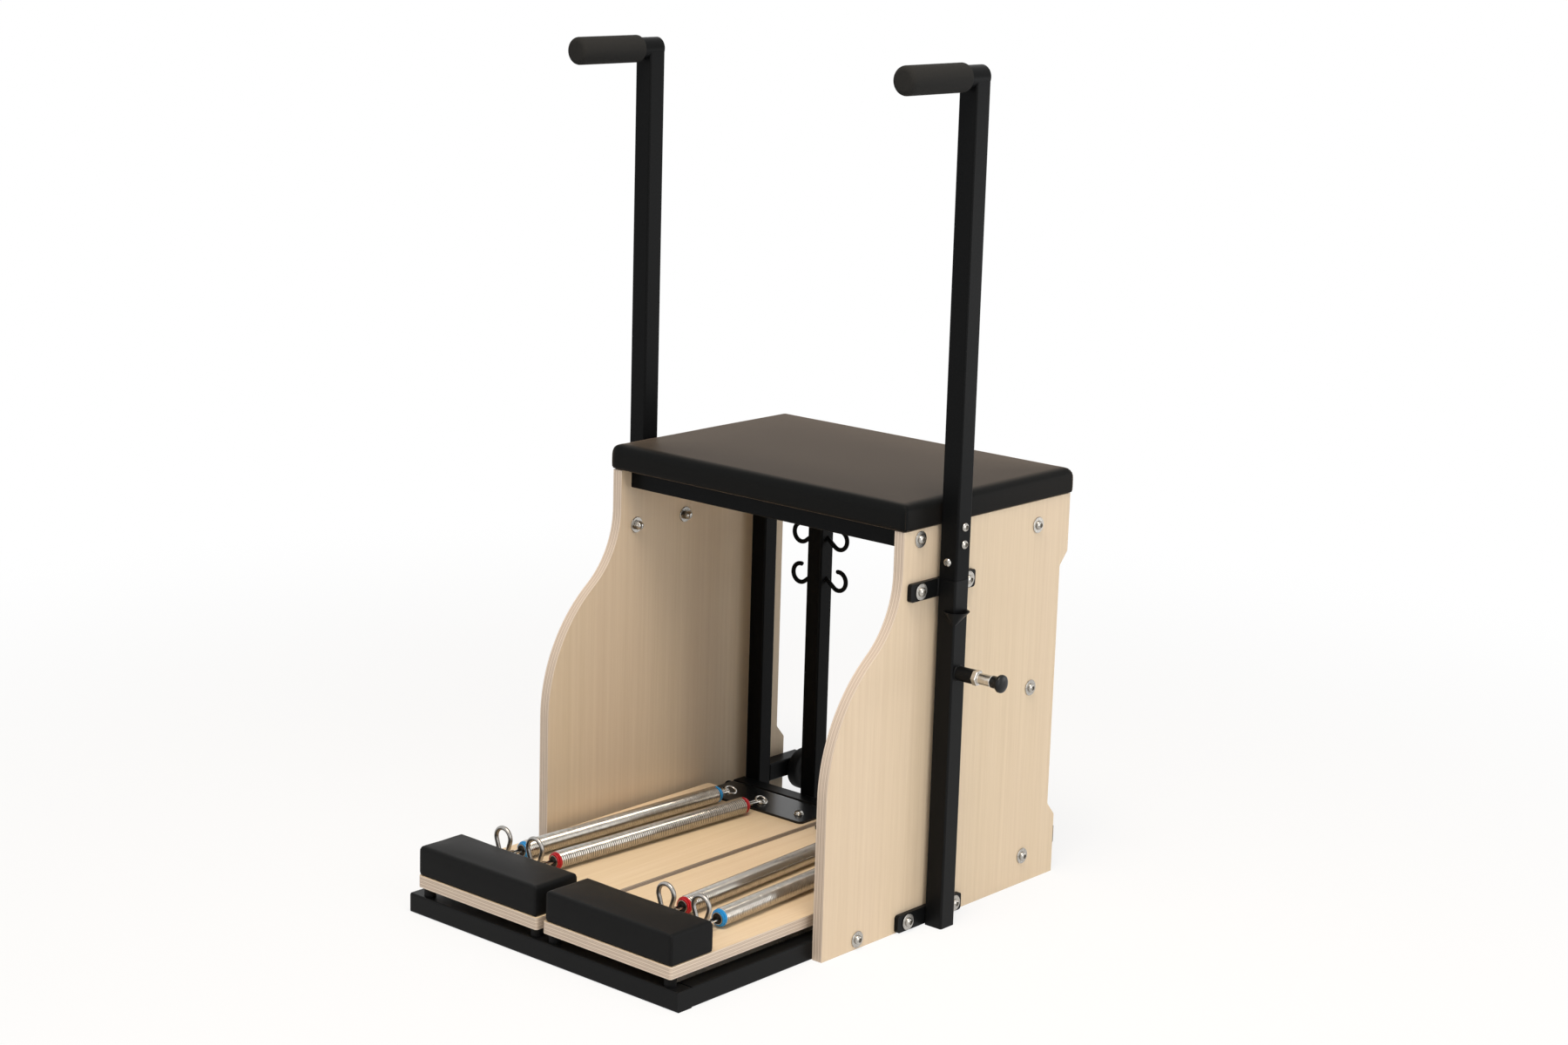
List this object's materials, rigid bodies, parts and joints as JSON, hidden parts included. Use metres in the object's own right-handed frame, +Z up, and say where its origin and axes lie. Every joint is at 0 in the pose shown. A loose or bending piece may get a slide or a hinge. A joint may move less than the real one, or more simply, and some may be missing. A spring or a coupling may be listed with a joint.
{
  "type": "pilates chair",
  "caption": "Plywood and black steel pilates chair with a padded seat, split spring pedals, height-adjustable side handles and transport wheels.",
  "frame": {"origin": "on the floor under the middle of the chair's length and width", "axes": "+Z up, -Y towards the pedals at the front, +X towards the right-hand side seen from the back"},
  "size_m": [0.8298, 0.886, 1.281],
  "materials": {
    "birch_plywood": "clear satin lacquer",
    "black_powder_coat": "fine satin powder coat",
    "seat_vinyl": "soft grained upholstery vinyl",
    "pad_vinyl": "soft grained upholstery vinyl",
    "spring_steel": "bright drawn wire",
    "stainless_steel": "polished fasteners",
    "bright_chrome": "bright plate",
    "blue_plastic": "smooth moulded",
    "red_plastic": "smooth moulded",
    "black_plastic": "smooth moulded",
    "foam_rubber": "matte closed-cell foam",
    "black_rubber": "matte"
  },
  "bodies": {
    "frame": {"base_bumpers": "black_rubber", "base_front_tube": "black_powder_coat", "base_rear_tube": "black_powder_coat", "base_side_tubes": "black_powder_coat", "bracket_fasteners": "stainless_steel", "corner_posts": "black_powder_coat", "handle_sleeve_left": "black_powder_coat", "handle_sleeve_right": "black_powder_coat", "hinge_lugs": "black_powder_coat", "hinge_shaft": "stainless_steel", "panel_bolts": "stainless_steel", "plunger_body_left": "bright_chrome", "plunger_body_right": "bright_chrome", "seat_board": "birch_plywood", "seat_front_tube": "black_powder_coat", "seat_pad": "seat_vinyl", "seat_rear_tube": "black_powder_coat", "side_panel_left": "birch_plywood", "side_panel_right": "birch_plywood", "spring_hooks_left": "black_powder_coat", "spring_hooks_right": "black_powder_coat", "spring_post_left": "black_powder_coat", "spring_post_right": "black_powder_coat", "wheel_arms": "black_powder_coat", "wheel_axles": "stainless_steel"},
    "handle_left": {"handle_post_left": "black_powder_coat", "handle_inner_tube_left": "black_powder_coat", "handle_grip_left": "foam_rubber", "handle_screws_left": "stainless_steel"},
    "handle_right": {"handle_post_right": "black_powder_coat", "handle_inner_tube_right": "black_powder_coat", "handle_grip_right": "foam_rubber", "handle_screws_right": "stainless_steel"},
    "pedal_left": {"pedal_board_left": "birch_plywood", "foot_pad_left": "pad_vinyl", "hinge_plate_left": "black_powder_coat", "plate_bolts_left": "stainless_steel", "eye_bolts_left": "stainless_steel"},
    "pedal_right": {"pedal_board_right": "birch_plywood", "foot_pad_right": "pad_vinyl", "hinge_plate_right": "black_powder_coat", "plate_bolts_right": "stainless_steel", "eye_bolts_right": "stainless_steel"},
    "pin_left": {"plunger_left": "black_plastic"},
    "pin_right": {"plunger_right": "black_plastic"},
    "roller_left": {"wheel_left": "black_rubber"},
    "roller_right": {"wheel_right": "black_rubber"},
    "spring_blue_left": {"spring_coil_blue_left": "spring_steel", "spring_caps_blue_left": "blue_plastic", "spring_ends_blue_left": "spring_steel"},
    "spring_blue_right": {"spring_coil_blue_right": "spring_steel", "spring_caps_blue_right": "blue_plastic", "spring_ends_blue_right": "spring_steel"},
    "spring_red_left": {"spring_coil_red_left": "spring_steel", "spring_caps_red_left": "red_plastic", "spring_ends_red_left": "spring_steel"},
    "spring_red_right": {"spring_coil_red_right": "spring_steel", "spring_caps_red_right": "red_plastic", "spring_ends_red_right": "spring_steel"}
  },
  "joints": [
    {"name": "pedal_left_swing", "type": "hinge", "parent": "frame", "child": "pedal_left", "pos_m": [0, 0.219, 0.0525], "axis": [-1, 0, 0], "range_deg": [0, 35]},
    {"name": "spring_blue_left_lift", "type": "hinge", "parent": "pedal_left", "child": "spring_blue_left", "pos_m": [-0.203, -0.321, 0.0683], "axis": [1, 0, 0], "range_deg": [0, 40]},
    {"name": "spring_red_left_lift", "type": "hinge", "parent": "pedal_left", "child": "spring_red_left", "pos_m": [-0.1345, -0.321, 0.0683], "axis": [1, 0, 0], "range_deg": [0, 40]},
    {"name": "handle_left_height", "type": "slide", "parent": "frame", "child": "handle_left", "axis": [0, 0, 1], "range_m": [0, 0.15]},
    {"name": "pin_left_pull", "type": "slide", "parent": "frame", "child": "pin_left", "axis": [-1, 0, 0], "range_m": [0, 0.008], "stiffness_N_per_m": 900, "springref_m": -0.004},
    {"name": "roller_left_spin", "type": "hinge", "parent": "frame", "child": "roller_left", "pos_m": [-0.2339, 0.408, 0.045], "axis": [1, 0, 0], "continuous": true},
    {"name": "pedal_right_swing", "type": "hinge", "parent": "frame", "child": "pedal_right", "pos_m": [0, 0.219, 0.0525], "axis": [-1, 0, 0], "range_deg": [0, 35]},
    {"name": "spring_blue_right_lift", "type": "hinge", "parent": "pedal_right", "child": "spring_blue_right", "pos_m": [0.203, -0.321, 0.0683], "axis": [1, 0, 0], "range_deg": [0, 40]},
    {"name": "spring_red_right_lift", "type": "hinge", "parent": "pedal_right", "child": "spring_red_right", "pos_m": [0.1345, -0.321, 0.0683], "axis": [1, 0, 0], "range_deg": [0, 40]},
    {"name": "handle_right_height", "type": "slide", "parent": "frame", "child": "handle_right", "axis": [0, 0, 1], "range_m": [0, 0.15]},
    {"name": "pin_right_pull", "type": "slide", "parent": "frame", "child": "pin_right", "axis": [1, 0, 0], "range_m": [0, 0.008], "stiffness_N_per_m": 900, "springref_m": -0.004},
    {"name": "roller_right_spin", "type": "hinge", "parent": "frame", "child": "roller_right", "pos_m": [0.2339, 0.408, 0.045], "axis": [1, 0, 0], "continuous": true}
  ]
}
